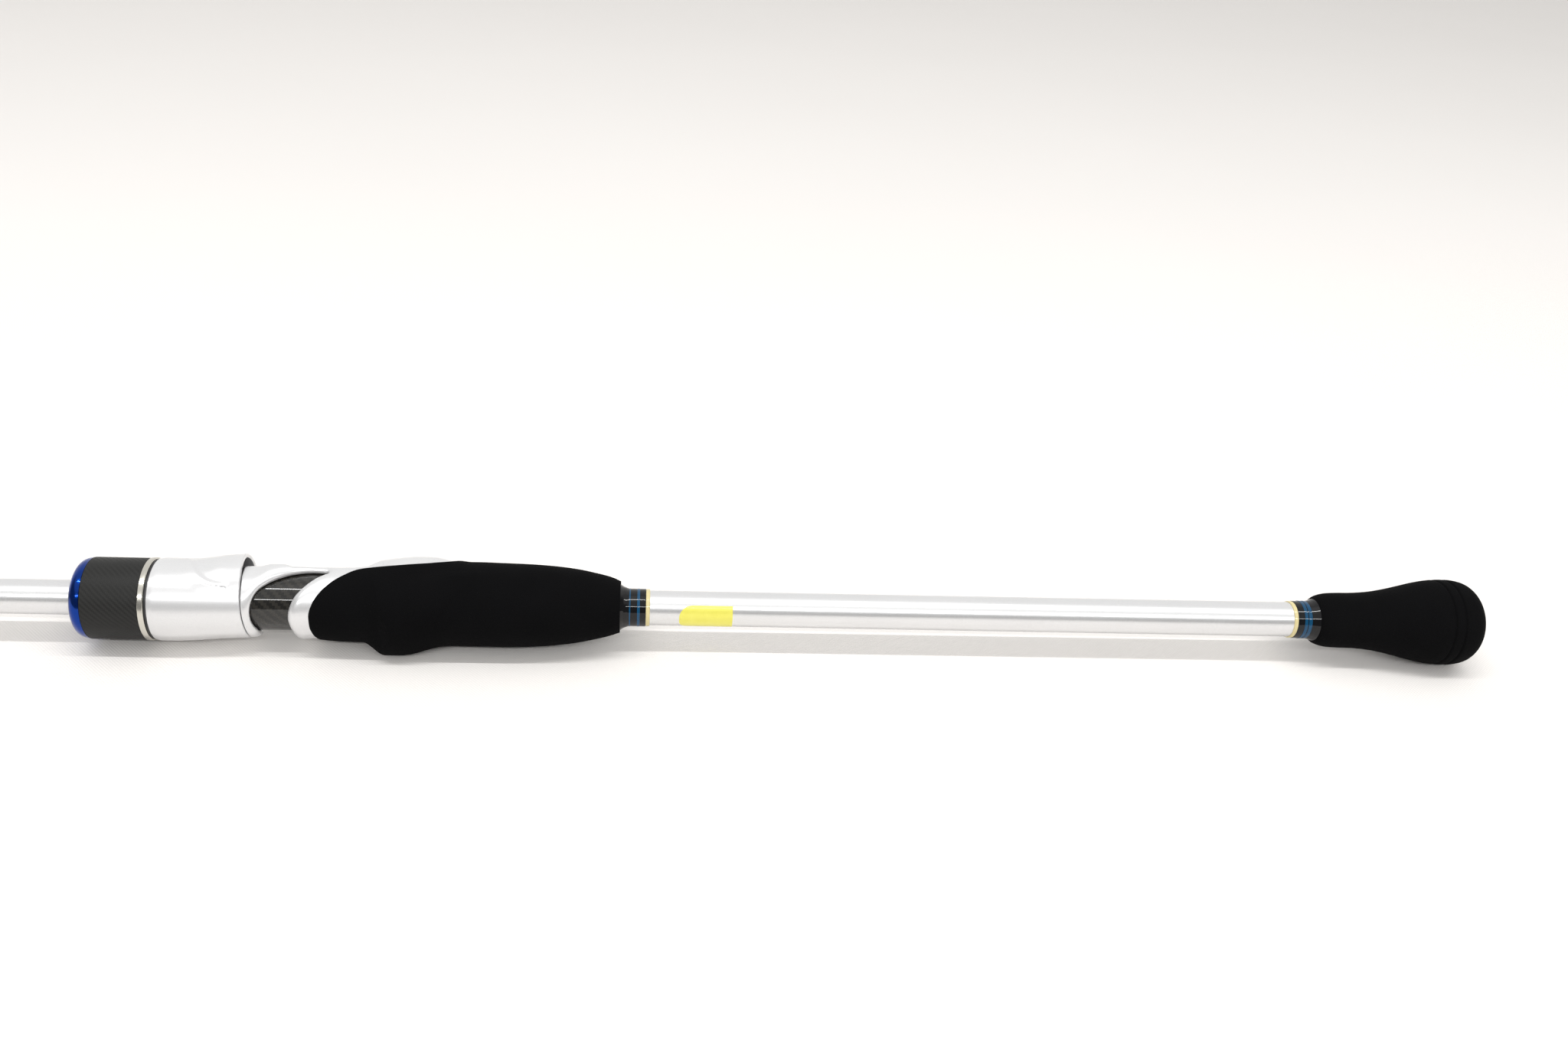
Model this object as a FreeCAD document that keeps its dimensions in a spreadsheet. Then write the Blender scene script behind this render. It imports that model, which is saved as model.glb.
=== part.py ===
"""A one-piece bait-casting fishing rod with a trigger reel seat and a screw-down hood.

Every body is drawn in the rod's own frame: X is the station along the rod, from the butt
towards the tip, Z points out of the side that carries the reel and the guides, and -Z out
of the trigger side. ROD_FRAME then lays the rod on a table: the knob's flat end at the
origin, the rod along -X, and the reel side rolled up and back.
"""
import FreeCAD, Part
import math
import os

import Sketcher
from FreeCAD import Placement, Rotation, Vector

# Driving dimensions in millimetres. "at" is a station along the rod, "rad" a radius.
DIMENSIONS = {
    # blank: a tapered tube
    "blank_end": 1898, "blank_start": 7.2, "handle_at": 480,
    "blank_butt_rad": 5.95, "blank_handle_rad": 5.45, "blank_tip_rad": 1.05,
    "bore_butt_rad": 4.7, "bore_handle_rad": 4.2, "bore_tip_rad": 0.45,
    # foam butt knob
    "butt_end_at": 4.2, "knob_end_rad": 7.5, "knob_bulge_at": 16, "knob_bulge_rad": 14.6, "knob_hip_at": 30,
    "knob_hip_rad": 12.4, "knob_neck_at": 53.4, "knob_neck_rad": 9.35, "knob_front": 62.5,
    "knob_front_rad": 6.6, "groove_at": 15.2, "groove_gap": 3.5, "groove_width": 0.9,
    "groove_depth": 0.35,
    # thread wraps on the handle
    "wrap_rad": 6.2, "butt_wrap_at": 62.5, "butt_wrap_blue_at": 64.9, "butt_wrap_blue_width": 2.5,
    "butt_wrap_end": 69.7, "trim_width": 1.3,
    "grip_wrap_at": 286.7, "grip_wrap_blue_at": 289.9, "grip_wrap_blue_width": 0.9,
    "grip_wrap_line_at": 292.9, "grip_wrap_line_width": 0.5, "grip_wrap_end": 296.3,
    "sticker_at": 260, "sticker_length": 18, "film": 0.08, "clearance": 0.05,
    # foam trigger grip
    "grip_at": 296.3, "grip_rear_rad": 8.35, "grip_swell_at": 319, "grip_swell_rad": 13.15,
    "grip_waist_at": 376, "grip_waist_rad": 11.95, "grip_front": 391.5,
    "grip_bore_rad": 10.4, "trigger_at": 364.5, "trigger_reach": 16.8,
    # reel seat: pipe and frame
    "pipe_at": 306, "pipe_end": 459.5, "pipe_rad": 9.2, "pipe_bore_rad": 8.1,
    "seat_at": 310, "seat_bore_rad": 9.25, "skin_at": 345, "seat_front": 411.5,
    "ridge_at": 402.5, "ridge_rad": 12.65, "saddle_rad": 11.45, "skin_front_rad": 11.3,
    "hump_at": 359, "hump_rise": 5.5, "hump_rad": 9.5, "foot_width": 15.2, "foot_roof_rad": 10.4,
    # threaded barrel, moving hood and lock nut
    "barrel_rad": 10.3, "thread_pitch": 2, "thread_depth": 0.5, "thread_at": 423,
    "keyway_width": 3.2, "keyway_floor": 9.6, "hood_at": 411.8, "hood_end": 438.9,
    "hood_bore_rad": 10.6, "hood_rim_rad": 12, "hood_waist_rad": 12.6, "lip_rise": 3,
    "lip_rad": 11.4, "lip_roof_rad": 10.6, "catch_bore_rad": 11.95, "catch_at": 437,
    "slip_ring_width": 1.1, "slip_ring_rad": 12.55, "nut_at": 440.2, "nut_sleeve_at": 441.7,
    "nut_thread_end": 452, "nut_front_ring_at": 458.5, "nut_end": 462.6, "nut_crest_rad": 10.42,
    "nut_core_rad": 11.6, "nut_rad": 12.7, "nickel_rad": 13, "nut_front_rad": 9.4,
    "nut_mouth_rad": 6.1,
    # line guides
    "ring_width": 1.8, "ring_land": 0.6, "sheet": 0.7, "guide_wrap": 0.55, "guide_wrap_rise": 0.3,
    "tip_top_at": 1904, "tip_top_height": 4.6,
}

# Guides from the handle to the tip: station along the rod, ring bore radius, ring outer
# radius, height of the ring's centre above the rod's axis, and whether it has two feet.
GUIDES = [
    (785, 3.9, 5.2, 12.8, True),
    (1025, 3.1, 4.4, 10.4, True),
    (1230, 2.55, 3.7, 8.6, False),
    (1410, 2.2, 3.25, 7.3, False),
    (1560, 1.95, 2.9, 6.4, False),
    (1690, 1.8, 2.7, 5.7, False),
    (1805, 1.8, 2.7, 5.4, False),
]

ROLL = 40  # degrees that the reel side leans back from straight up
ROD_FRAME = Placement(Vector(DIMENSIONS["butt_end_at"], 0, 0),
                      Rotation(Vector(1, 0, 0), -ROLL) * Rotation(Vector(0, 0, 1), 180))

doc = FreeCAD.newDocument("casting_rod")
sheet = doc.addObject("Spreadsheet::Sheet", "dims")
for row, (alias, value) in enumerate(DIMENSIONS.items(), start=1):
    sheet.set("A%d" % row, alias)
    sheet.set("B%d" % row, str(value))
    sheet.setAlias("B%d" % row, alias)
doc.recompute()

subparts = []


class Size:
    """A length that knows its value and the sheet expression that it comes from."""

    def __init__(self, value, text=None):
        self.value = float(value)
        self.text = text if text is not None else repr(float(value))

    def __add__(self, other):
        other = size(other)
        return Size(self.value + other.value, "(%s + %s)" % (self.text, other.text))

    def __sub__(self, other):
        other = size(other)
        return Size(self.value - other.value, "(%s - %s)" % (self.text, other.text))

    def __mul__(self, factor):
        return Size(self.value * factor, "(%s * %r)" % (self.text, float(factor)))

    def __neg__(self):
        return self * -1.0

    __radd__ = __add__


def size(thing):
    return thing if isinstance(thing, Size) else Size(thing)


def dim(alias):
    """The driving dimension of that name."""
    return Size(DIMENSIONS[alias], "dims." + alias)


# ------------------------------------------------------------------ shared ways of working
def new_body(label):
    body = doc.addObject("PartDesign::Body", label)
    body.Label = label
    body.Placement = ROD_FRAME
    subparts.append(body)
    return body


def new_sketch(body, name, role="XZ_Plane", along=0, across=0, up=0):
    """A sketch on one of the body's origin planes, moved along the rod, across it or up."""
    sketch = body.newObject("Sketcher::SketchObject", name)
    plane = [item for item in body.Origin.OriginFeatures if item.Role == role][0]
    sketch.AttachmentSupport = [(plane, "")]
    sketch.MapMode = "FlatFace"
    offsets = {"XZ_Plane": (along, up, -size(across)), "YZ_Plane": (across, up, along),
               "XY_Plane": (along, across, up)}[role]
    for letter, offset in zip("xyz", offsets):
        if size(offset).value:
            sketch.setExpression("AttachmentOffset.Base." + letter, size(offset).text)
    return sketch


def bind(sketch, constraint, length):
    """Adds a dimension to a sketch and ties it to the sheet."""
    index = sketch.addConstraint(constraint)
    if "dims." in length.text:
        sketch.setExpression("Constraints[%d]" % index, length.text)


def place(sketch, edge, end, horizontal, vertical):
    """Holds an edge's end (1 start, 2 end, 3 centre) at that distance from the origin."""
    bind(sketch, Sketcher.Constraint("DistanceX", -1, 1, edge, end, horizontal.value), horizontal)
    bind(sketch, Sketcher.Constraint("DistanceY", -1, 1, edge, end, vertical.value), vertical)


def draw_outline(sketch, corners):
    """A closed outline. Each corner is (x, y), or (x, y, radius) where an arc of that
    radius runs on to the next corner: positive bends left of the way there, negative right."""
    corners = [tuple(size(number) for number in corner) for corner in corners]
    for index, corner in enumerate(corners):
        after = corners[(index + 1) % len(corners)]
        start = Vector(corner[0].value, corner[1].value, 0)
        end = Vector(after[0].value, after[1].value, 0)
        if len(corner) == 2:
            edge = sketch.addGeometry(Part.LineSegment(start, end))
            place(sketch, edge, 1, corner[0], corner[1])
            continue
        radius = corner[2].value
        run = end - start
        left = Vector(-run.y, run.x, 0).normalize()
        half = run.Length / 2
        rise = abs(radius) - math.sqrt(radius ** 2 - half ** 2)
        middle = (start + end) * 0.5 + left * math.copysign(rise, radius)
        edge = sketch.addGeometry(Part.Arc(start, middle, end))
        first = 1 if sketch.getPoint(edge, 1).distanceToPoint(start) < 1e-6 else 2
        place(sketch, edge, first, corner[0], corner[1])
        place(sketch, edge, 3 - first, after[0], after[1])


def draw_circle(sketch, radius, across=0, up=0):
    edge = sketch.addGeometry(Part.Circle(Vector(size(across).value, size(up).value, 0),
                                          Vector(0, 0, 1), size(radius).value))
    place(sketch, edge, 3, size(across), size(up))
    bind(sketch, Sketcher.Constraint("Radius", edge, size(radius).value), size(radius))


def turn(body, name, corners, cut=False, along=0, up=0):
    """Revolves an outline about the rod's axis, or about one that stands above it."""
    sketch = new_sketch(body, name + "_outline", along=along, up=up)
    draw_outline(sketch, corners)
    feature = body.newObject("PartDesign::Groove" if cut else "PartDesign::Revolution", name)
    feature.Profile = sketch
    feature.ReferenceAxis = (sketch, ["H_Axis"])
    feature.Angle = 360
    doc.recompute()
    return feature


def extrude(body, name, corners, length=None, cut=False, role="XZ_Plane", both_ways=True, **shift):
    """Pads or cuts an outline through the body, a stated length or all the way."""
    sketch = new_sketch(body, name + "_outline", role, **shift)
    draw_outline(sketch, corners)
    feature = body.newObject("PartDesign::Pocket" if cut else "PartDesign::Pad", name)
    feature.Profile = sketch
    feature.SideType = "Symmetric" if both_ways else "One side"
    if length is None:
        feature.Type = "ThroughAll"
    else:
        feature.setExpression("Length", size(length).text)
    doc.recompute()
    return feature


def loft(body, name, rounds, cut=False):
    """Lofts through circles: (distance along, centre height, radius)."""
    sketches = []
    for index, (along, up, radius) in enumerate(rounds):
        sketch = new_sketch(body, "%s_%d" % (name, index), "YZ_Plane", along=along)
        draw_circle(sketch, radius, up=up)
        sketches.append(sketch)
    kind = "PartDesign::SubtractiveLoft" if cut else "PartDesign::AdditiveLoft"
    feature = body.newObject(kind, name)
    feature.Profile = sketches[0]
    feature.Sections = sketches[1:]
    feature.Ruled = len(rounds) == 2
    doc.recompute()
    return feature


def helical_cut(body, name, corners, reach):
    sketch = new_sketch(body, name + "_outline")
    draw_outline(sketch, corners)
    feature = body.newObject("PartDesign::SubtractiveHelix", name)
    feature.Profile = sketch
    feature.ReferenceAxis = (sketch, ["H_Axis"])
    feature.Mode = "pitch-height-angle"
    feature.setExpression("Pitch", "dims.thread_pitch")
    feature.setExpression("Height", size(reach).text)
    doc.recompute()
    return feature


def sleeve(label, start, end, inner, outer):
    """A plain tube round the rod."""
    body = new_body(label)
    turn(body, label + "_tube", [(start, inner), (end, inner), (end, outer), (start, outer)])
    return body


def blank_radius(along):
    """Radius of the blank in front of the handle, which tapers straight to the tip."""
    share = (along - DIMENSIONS["handle_at"]) / (DIMENSIONS["blank_end"] - DIMENSIONS["handle_at"])
    return dim("blank_handle_rad") * (1 - share) + dim("blank_tip_rad") * share


# ------------------------------------------------------------------------------- the blank
def make_blank():
    body = new_body("blank")
    turn(body, "blank_tube", [
        (dim("blank_start"), dim("bore_butt_rad")), (dim("handle_at"), dim("bore_handle_rad")),
        (dim("blank_end"), dim("bore_tip_rad")), (dim("blank_end"), dim("blank_tip_rad")),
        (dim("handle_at"), dim("blank_handle_rad")), (dim("blank_start"), dim("blank_butt_rad"))])
    return body


# --------------------------------------------------------------------- butt knob and wraps
def make_butt_knob():
    body = new_body("butt_knob")
    bore = dim("blank_butt_rad") + dim("clearance")
    turn(body, "knob_foam", [
        (dim("butt_end_at"), 0), (dim("butt_end_at"), dim("knob_end_rad"), 9.6),
        (dim("knob_bulge_at"), dim("knob_bulge_rad"), 57),
        (dim("knob_hip_at"), dim("knob_hip_rad"), -81),
        (dim("knob_neck_at"), dim("knob_neck_rad")),
        (dim("knob_front") - 3.6, dim("knob_neck_rad") - 0.5, 4.2),
        (dim("knob_front"), dim("knob_front_rad")),
        (dim("knob_front"), bore), (dim("blank_start") - dim("clearance"), bore),
        (dim("blank_start") - dim("clearance"), 0)])
    for number in range(2):
        middle = dim("groove_at") + dim("groove_gap") * number
        floor = dim("knob_bulge_rad") - dim("groove_depth") - 0.1 * number
        turn(body, "ring_groove_%d" % number, [
            (middle - dim("groove_width") * 0.5, dim("knob_bulge_rad") + 1), (middle, floor),
            (middle + dim("groove_width") * 0.5, dim("knob_bulge_rad") + 1)], cut=True)
    return body


def make_handle_wraps():
    """Thread wraps where the knob and the grip meet the bare blank."""
    inner = dim("blank_butt_rad")
    outer = dim("wrap_rad")
    blue_end = dim("butt_wrap_blue_at") + dim("butt_wrap_blue_width")
    body = new_body("butt_wrap")
    under_blue = inner + 0.1
    turn(body, "wrap_turns", [
        (dim("butt_wrap_at"), inner), (dim("butt_wrap_end"), inner), (dim("butt_wrap_end"), outer),
        (blue_end, outer), (blue_end, under_blue), (dim("butt_wrap_blue_at"), under_blue),
        (dim("butt_wrap_blue_at"), outer), (dim("butt_wrap_at"), outer)])
    sleeve("butt_wrap_blue", dim("butt_wrap_blue_at"), blue_end, under_blue, outer)
    sleeve("butt_wrap_trim", dim("butt_wrap_end"), dim("butt_wrap_end") + dim("trim_width"), inner, outer)

    trim_end = dim("grip_wrap_at") + dim("trim_width")
    sleeve("grip_wrap_trim", dim("grip_wrap_at"), trim_end, inner, outer)
    sleeve("grip_wrap", trim_end, dim("grip_wrap_end"), inner, outer)
    sleeve("grip_wrap_blue", dim("grip_wrap_blue_at"),
           dim("grip_wrap_blue_at") + dim("grip_wrap_blue_width"), outer, outer + 0.1)
    sleeve("grip_wrap_line", dim("grip_wrap_line_at"),
           dim("grip_wrap_line_at") + dim("grip_wrap_line_width"), outer, outer + 0.1)


def make_sticker():
    """A plain film label that goes halfway round the blank."""
    body = new_body("label_sticker")
    start = dim("sticker_at")
    end = start + dim("sticker_length")
    inner = dim("blank_butt_rad")
    turn(body, "film", [(start, inner), (end, inner), (end, inner + dim("film")),
                        (start, inner + dim("film"))])
    extrude(body, "bare_half", [(start - 1, -8), (end + 1, -8), (end + 1, 8), (start - 1, 8)],
            length=9, cut=True, both_ways=False, across=0)
    return body


# ------------------------------------------------------------------------------ reel seat
def grip_edge(rear, far):
    """Side view of the space in front of the grip's swept front edge, rear end first."""
    return [(rear, 18), (rear, 14.6), (rear + 10, 12.9), (371.2, 11, 22),
            (391.2, -5.5, 30), (389.8, -12), (389.4, -far), (420, -far), (420, 18)]


def hump_rounds(gap):
    """Circles whose loft is the fixed rear hood, standing above the saddle."""
    radius = dim("hump_rad") + gap
    return [(dim("skin_at"), dim("hump_rise") - 2.3, radius), (dim("hump_at"), dim("hump_rise"), radius),
            (dim("ridge_at") - 16, dim("saddle_rad") - dim("hump_rad"), radius)]


def make_seat_frame():
    """Moulded frame: sleeve, outer skin with a window, rear hood, trigger core and barrel."""
    body = new_body("seat_frame")
    inner = dim("seat_bore_rad")
    front = dim("seat_front")
    turn(body, "skin", [
        (dim("skin_at"), inner), (front, inner), (front, dim("skin_front_rad")),
        (dim("ridge_at") + 6, dim("saddle_rad") + 0.2), (dim("ridge_at"), dim("ridge_rad")),
        (dim("ridge_at") - 6, dim("ridge_rad") - 0.5), (dim("ridge_at") - 16, dim("saddle_rad")),
        (dim("skin_at"), dim("saddle_rad"))])
    loft(body, "rear_hood_hump", hump_rounds(size(0)))
    turn(body, "bore", [(dim("skin_at") - 1, 0), (front + 1, 0), (front + 1, inner),
                        (dim("skin_at") - 1, inner)], cut=True)
    skin_of_grip = [(340, -18), (340, 14), (345, 13.4)] + grip_edge(345, 18)[2:6] + [(389.4, -18)]
    extrude(body, "room_for_grip", skin_of_grip, cut=True)
    turn(body, "sleeve", [
        (dim("seat_at"), inner), (front, inner), (front, dim("grip_bore_rad") - 0.05),
        (dim("seat_at"), dim("grip_bore_rad") - 0.05)])
    turn(body, "barrel", [
        (front - 0.5, inner), (dim("pipe_end"), inner), (dim("pipe_end"), dim("barrel_rad")),
        (front - 0.5, dim("barrel_rad"))])
    extrude(body, "trigger_core", [
        (359, -9.8), (372, -9.8), (369, -15), (363, -15)], length=6)

    half = dim("foot_width") * 0.5
    extrude(body, "rear_foot_pocket", [
        (half, 8.7), (half, 10.2, 10.4), (-half, 10.2), (-half, 8.7, -11.55)],
        length=38, cut=True, role="YZ_Plane", both_ways=False, along=390)
    extrude(body, "window", [
        (387.7, 8.2, 18.6), (398, -5.5), (396.5, -13), (406, -13), (408.6, -5, -16.7),
        (393.5, 8.4)], cut=True)

    crest, root = dim("barrel_rad"), dim("barrel_rad") - dim("thread_depth")
    first = dim("thread_at")
    helical_cut(body, "thread", [
        (first - 0.65, crest), (first - 0.4, root), (first + 0.4, root), (first + 0.65, crest),
        (first + 0.7, crest + 0.4), (first - 0.7, crest + 0.4)], dim("pipe_end") - dim("thread_at") + 2)
    half = dim("keyway_width") * 0.5
    extrude(body, "keyway", [
        (half, -dim("keyway_floor")), (half, -12), (-half, -12), (-half, -dim("keyway_floor"))],
        length=dim("pipe_end") - front + 1, cut=True, role="YZ_Plane", both_ways=False,
        along=dim("pipe_end") + 1)
    return body


def make_seat_pipe():
    sleeve("seat_pipe", dim("pipe_at"), dim("pipe_end"), dim("pipe_bore_rad"), dim("pipe_rad"))


def make_arbors():
    """Foam bushes that centre the blank in the seat pipe."""
    for name, start, end in [("rear_arbor", 308, 332), ("middle_arbor", 372, 396), ("front_arbor", 434, 458)]:
        sleeve(name, start, end, dim("blank_butt_rad") - 0.1, dim("pipe_bore_rad"))


def make_trigger_grip():
    """Foam grip round the seat, with the stub trigger."""
    body = new_body("trigger_grip")
    end = dim("grip_front")
    turn(body, "grip_foam", [
        (dim("grip_at"), 5), (dim("grip_at"), dim("grip_rear_rad"), 72),
        (dim("grip_swell_at"), dim("grip_swell_rad"), 424),
        (dim("grip_waist_at"), dim("grip_waist_rad")), (end, dim("grip_waist_rad")), (end, 5)])
    reach = dim("trigger_reach")
    trigger = []
    for index, (height, along, long_half, wide_half) in enumerate([
            (reach - 8, -1, 16, 11.2), (reach - 3.2, -1, 11.5, 8.8), (reach - 0.9, 0.8, 6, 5.4), (reach, 2, 4, 3.4)]):
        sketch = new_sketch(body, "trigger_%d" % index, "XY_Plane",
                            along=dim("trigger_at") + along, up=-height)
        sketch.addGeometry(Part.Ellipse(Vector(), long_half, wide_half))
        trigger.append(sketch)
    feature = body.newObject("PartDesign::AdditiveLoft", "trigger")
    feature.Profile = trigger[0]
    feature.Sections = trigger[1:]
    doc.recompute()
    extrude(body, "swept_front_edge", grip_edge(345, 25), cut=True)
    seat, pipe = dim("seat_at"), dim("pipe_at")
    turn(body, "bore", [
        (dim("grip_at") - 1, 0), (end + 1, 0), (end + 1, dim("grip_bore_rad")),
        (seat - 0.1, dim("grip_bore_rad")), (seat - 0.1, dim("pipe_rad") + 0.05),
        (pipe - 0.1, dim("pipe_rad") + 0.05), (pipe - 0.1, 6.35), (dim("grip_at") - 1, 6.35)], cut=True)
    loft(body, "room_for_hump", hump_rounds(dim("clearance")), cut=True)
    extrude(body, "room_for_core", [
        (358.9, -9.7), (372.1, -9.7), (369.1, -15.1), (362.9, -15.1)], length=6.2, cut=True)
    return body


# ---------------------------------------------------------------- moving hood and lock nut
def make_moving_hood():
    body = new_body("moving_hood")
    start, end, bore = dim("hood_at"), dim("hood_end"), dim("hood_bore_rad")
    turn(body, "hood_shell", [
        (start, bore), (end, bore), (end, dim("hood_waist_rad")), (end - 2.5, dim("hood_waist_rad") + 0.4),
        (end - 11, dim("hood_waist_rad")), (start + 7, dim("hood_rim_rad")), (start, dim("hood_rim_rad") - 0.3)])
    loft(body, "foot_lip", [(start, dim("lip_rise"), dim("lip_rad")), (start + 16, 0.2, dim("hood_waist_rad") - 0.2)])
    turn(body, "bore", [(start - 1, 0), (end, 0), (end, bore), (start - 1, bore)], cut=True)
    loft(body, "foot_pocket", [(start - 0.5, dim("lip_rise") - 0.4, dim("lip_roof_rad")),
                               (start + 16, 0, bore - 0.1)], cut=True)
    turn(body, "nut_catch_room", [
        (dim("catch_at"), 9), (end + 1, 9), (end + 1, dim("catch_bore_rad")),
        (dim("catch_at"), dim("catch_bore_rad"))], cut=True)
    half = dim("keyway_width") * 0.5 - 0.3
    extrude(body, "key", [(half, -9.95), (half, -11), (-half, -11), (-half, -9.95)],
            length=14, role="YZ_Plane", both_ways=False, along=start + 2)
    return body


def make_slip_ring():
    start = dim("hood_end")
    end = start + dim("slip_ring_width")
    sleeve("slip_ring", start, end, dim("catch_bore_rad") - 0.55, dim("slip_ring_rad"))


def make_lock_nut():
    """The nut's bore stands at the thread's crests: the barrel carries the helix."""
    body = new_body("nut_core")
    start, end, crest = dim("nut_at"), dim("nut_front_ring_at"), dim("nut_crest_rad")
    outer, flange = dim("nut_core_rad"), dim("catch_bore_rad") - 0.8
    neck = dim("hood_bore_rad") + 0.05
    turn(body, "core", [
        (start, crest), (dim("nut_thread_end"), crest), (dim("nut_thread_end") + 0.3, neck),
        (end, neck), (end, outer), (start, outer)])
    turn(body, "catch_flange", [
        (dim("catch_at") + 0.4, neck), (start + 0.3, neck), (start + 0.3, flange),
        (dim("catch_at") + 1.5, flange), (dim("catch_at") + 1.5, flange + 0.5),
        (dim("catch_at") + 0.4, flange + 0.5)])

    sleeve("nut_rear_ring", start, dim("nut_sleeve_at"), outer, dim("nickel_rad"))
    sleeve("nut_sleeve", dim("nut_sleeve_at"), end, outer, dim("nut_rad"))
    ring = new_body("nut_front_ring")
    back = dim("pipe_end") + 0.5
    turn(ring, "front_ring", [
        (end, neck), (back, neck), (back, dim("nut_mouth_rad")),
        (dim("nut_end"), dim("nut_mouth_rad")), (dim("nut_end"), dim("nut_front_rad"), -4.2),
        (end, dim("nut_rad"))])


# ---------------------------------------------------------------------------- line guides
def make_ring(label, along, up, bore, outer):
    """Ceramic ring with a short straight land and rounded edges."""
    body = new_body(label)
    half, land = dim("ring_width") * 0.5, dim("ring_land") * 0.5
    edge = 0.6
    turn(body, label + "_profile", [
        (-half, outer), (-half, size(bore) + edge, -0.65), (-land, bore), (land, bore, -0.65),
        (half, size(bore) + edge), (half, outer)], along=along, up=up)


def make_frame(label, along, up, outer, feet):
    """Stamped sheet frame: a ring housing on a pair of legs per foot."""
    body = new_body(label)
    sheet_size = dim("sheet")
    housing = outer + 0.6
    turn(body, "housing", [
        (dim("ring_width") * -0.4, outer), (dim("ring_width") * 0.4, outer),
        (dim("ring_width") * 0.4, outer + 0.6), (dim("ring_width") * -0.4, outer + 0.6)],
        along=along, up=up)
    run = (up - outer) * 0.75 + 2
    foot = up * 0.9 + 4
    for way in feet:
        base = blank_radius(along + way * (run + foot / 2))
        knee, heel = along + way * run, along + way * (run + foot)
        rise = base + sheet_size
        side = [(along - way * 0.45, up), (along - way * 0.45, up - outer - 0.8), (knee, base), (heel, base),
                (heel, base + 0.25), (knee + way * 0.5, rise), (along + way * 0.55, up - outer),
                (along + way * 0.55, up)]
        extrude(body, "leg_side", side, length=2 * housing)
    foot_half = 0.55 + outer * 0.12
    low = blank_radius(along).value - 2
    knee_height = blank_radius(along).value + DIMENSIONS["sheet"]
    for hand in (1, -1):
        extrude(body, "leg_taper", [
            (hand * foot_half, low), (hand * foot_half, knee_height), (hand * housing, up - outer * 0.4),
            (hand * housing, up + housing + 1), (hand * (housing + 3), up + housing + 1),
            (hand * (housing + 3), low)], cut=True, role="YZ_Plane", along=along)
    legs_top = up - outer * 0.72
    extrude(body, "leg_gap", [
        (0, knee_height + 0.9), (outer * 0.52, legs_top), (-outer * 0.52, legs_top)],
        cut=True, role="YZ_Plane", along=along)
    sketch = new_sketch(body, "ring_seat_outline", "YZ_Plane", along=along)
    draw_circle(sketch, outer, up=up)
    seat = body.newObject("PartDesign::Pocket", "ring_seat")
    seat.Profile = sketch
    seat.SideType = "Symmetric"
    seat.Type = "ThroughAll"
    doc.recompute()
    return body, run, foot


def make_wrap(label, frame, spans):
    """Thread wound over each foot: a tube set a little to the reel side, round foot and blank."""
    tubes = []
    for index, (start, end) in enumerate(spans):
        start, end = min(start, end), max(start, end)
        radius = blank_radius(start)
        tube = doc.addObject("Part::Cylinder", "%s_tube_%d" % (label, index))
        tube.setExpression("Radius", (radius + dim("guide_wrap")).text)
        tube.Height = end - start
        centre = Vector(start, 0, DIMENSIONS["guide_wrap_rise"])
        tube.Placement = ROD_FRAME * Placement(centre, Rotation(Vector(0, 1, 0), 90))
        tubes.append(tube)
    whole = tubes[0]
    if len(tubes) > 1:
        whole = doc.addObject("Part::MultiFuse", label + "_tubes")
        whole.Shapes = tubes
    on_blank = doc.addObject("Part::Cut", label + "_on_blank")
    on_blank.Base, on_blank.Tool = whole, solid_blank
    wrap = doc.addObject("Part::Cut", label)
    wrap.Base, wrap.Tool = on_blank, frame
    wrap.Label = label
    subparts.append(wrap)


def make_guides():
    for number, (along, bore, outer, up, two_feet) in enumerate(GUIDES, start=1):
        name = "guide_%d" % number
        make_ring(name + "_ring", along, up, bore, outer)
        feet = (-1, 1) if two_feet else (-1,)
        frame, run, foot = make_frame(name + "_frame", along, up, outer, feet)
        make_wrap(name + "_wrap", frame, [(along + way * (run + 1.5), along + way * (run + foot + 1.5))
                                          for way in feet])


def make_tip_top():
    """Tube over the blank's tip that carries the last ring."""
    along, up = DIMENSIONS["tip_top_at"], DIMENSIONS["tip_top_height"]
    bore, outer = GUIDES[-1][1:3]
    make_ring("tip_top_ring", along, up, bore, outer)
    body = new_body("tip_top_frame")
    tip = dim("blank_end")
    bore_size = dim("blank_tip_rad") + 0.07
    turn(body, "tip_tube", [(tip - 9, bore_size), (tip + 0.2, bore_size), (tip + 0.2, 0), (tip + 1, 0),
                            (tip + 1, bore_size + 0.4), (tip - 9, bore_size + 0.4)])
    turn(body, "housing", [
        (dim("ring_width") * -0.4, outer), (dim("ring_width") * 0.4, outer),
        (dim("ring_width") * 0.4, outer + 0.6), (dim("ring_width") * -0.4, outer + 0.6)],
        along=along, up=up)
    extrude(body, "neck", [
        (tip + 0.3, 1.2), (tip + 0.3, -1), (tip + 1, -1), (along + 0.5, up - outer - 0.6),
        (along + 0.5, up - outer), (along - 0.7, up - outer), (tip - 1, 1.4), (tip - 1, 1.2)], length=1.6)
    sleeve("tip_top_wrap", tip - 15, tip - 9, dim("blank_tip_rad") + 0.07, dim("blank_tip_rad") + 0.35)


make_blank()
solid_blank = doc.addObject("Part::Cone", "solid_blank")
solid_blank.setExpression("Radius1", "dims.blank_handle_rad")
solid_blank.setExpression("Radius2", "dims.blank_tip_rad")
solid_blank.setExpression("Height", "dims.blank_end - dims.handle_at")
solid_blank.Placement = ROD_FRAME * Placement(Vector(DIMENSIONS["handle_at"], 0, 0),
                                              Rotation(Vector(0, 1, 0), 90))
make_butt_knob()
make_handle_wraps()
make_sticker()
make_seat_frame()
make_seat_pipe()
make_arbors()
make_trigger_grip()
make_moving_hood()
make_slip_ring()
make_lock_nut()
make_guides()
make_tip_top()

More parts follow.
